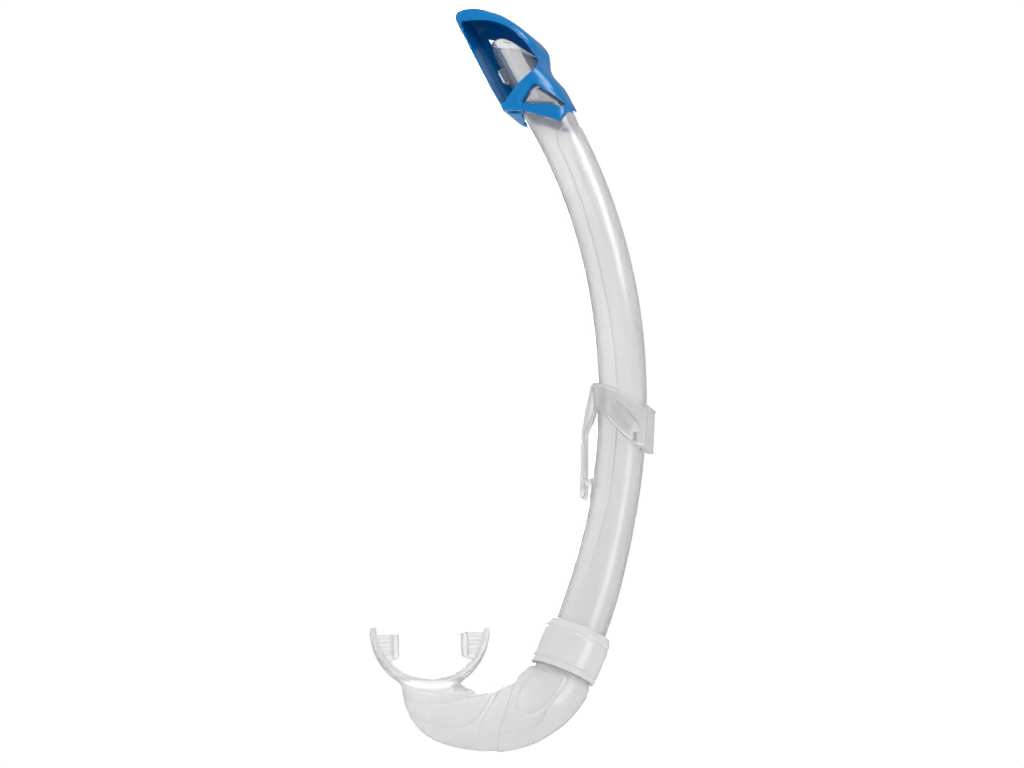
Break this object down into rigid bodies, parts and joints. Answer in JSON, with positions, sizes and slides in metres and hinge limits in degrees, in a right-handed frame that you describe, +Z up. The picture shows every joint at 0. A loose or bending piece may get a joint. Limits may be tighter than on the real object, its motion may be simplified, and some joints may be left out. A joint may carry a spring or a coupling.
{
  "type": "snorkel tube",
  "caption": "Curved clear snorkel barrel with a blue splash guard, a strap keeper with spring arm and a swivelling silicone mouthpiece.",
  "frame": {"origin": "middle of the strap seat, the flat inner face of the keeper's spring arm, where the mask strap lies and holds the snorkel up", "axes": "+Z up along the snorkel as worn, +X from the strap seat towards the barrel and the bulging side of its bend, Y across; the barrel bends in the plane y = 0"},
  "size_m": [0.1524, 0.0722, 0.4322],
  "materials": {
    "blue_plastic": "glossy moulded",
    "clear_tube": "satin, translucent",
    "clear_keeper": "glossy, transparent",
    "clear_silicone": "soft satin, translucent",
    "milky_silicone": "soft satin, milky"
  },
  "bodies": {
    "keeper": {"keeper_band": "clear_keeper"},
    "spring_arm": {"keeper_arm": "clear_keeper"},
    "tube": {"barrel": "clear_tube", "splash_guard": "blue_plastic"},
    "mouthpiece": {"mouthpiece_collar": "milky_silicone", "mouthpiece_elbow": "clear_silicone", "mouth_flange": "clear_silicone", "bite_tab_left": "clear_silicone", "bite_tab_right": "clear_silicone"}
  },
  "joints": [
    {"name": "arm_flex", "type": "hinge", "parent": "keeper", "child": "spring_arm", "pos_m": [0.0032, 0, 0.034], "axis": [0, 1, 0], "range_deg": [0, 8], "stiffness_Nm_per_rad": 0.5},
    {"name": "height_slide", "type": "hinge", "parent": "keeper", "child": "tube", "pos_m": [-0.32824, 0, 0.02641], "axis": [0, -1, 0], "range_deg": [-5, 5]},
    {"name": "mouthpiece_swivel", "type": "hinge", "parent": "tube", "child": "mouthpiece", "pos_m": [-0.00895, 0, -0.11575], "axis": [0.4067, 0, 0.9135], "range_deg": [-75, 35]}
  ]
}
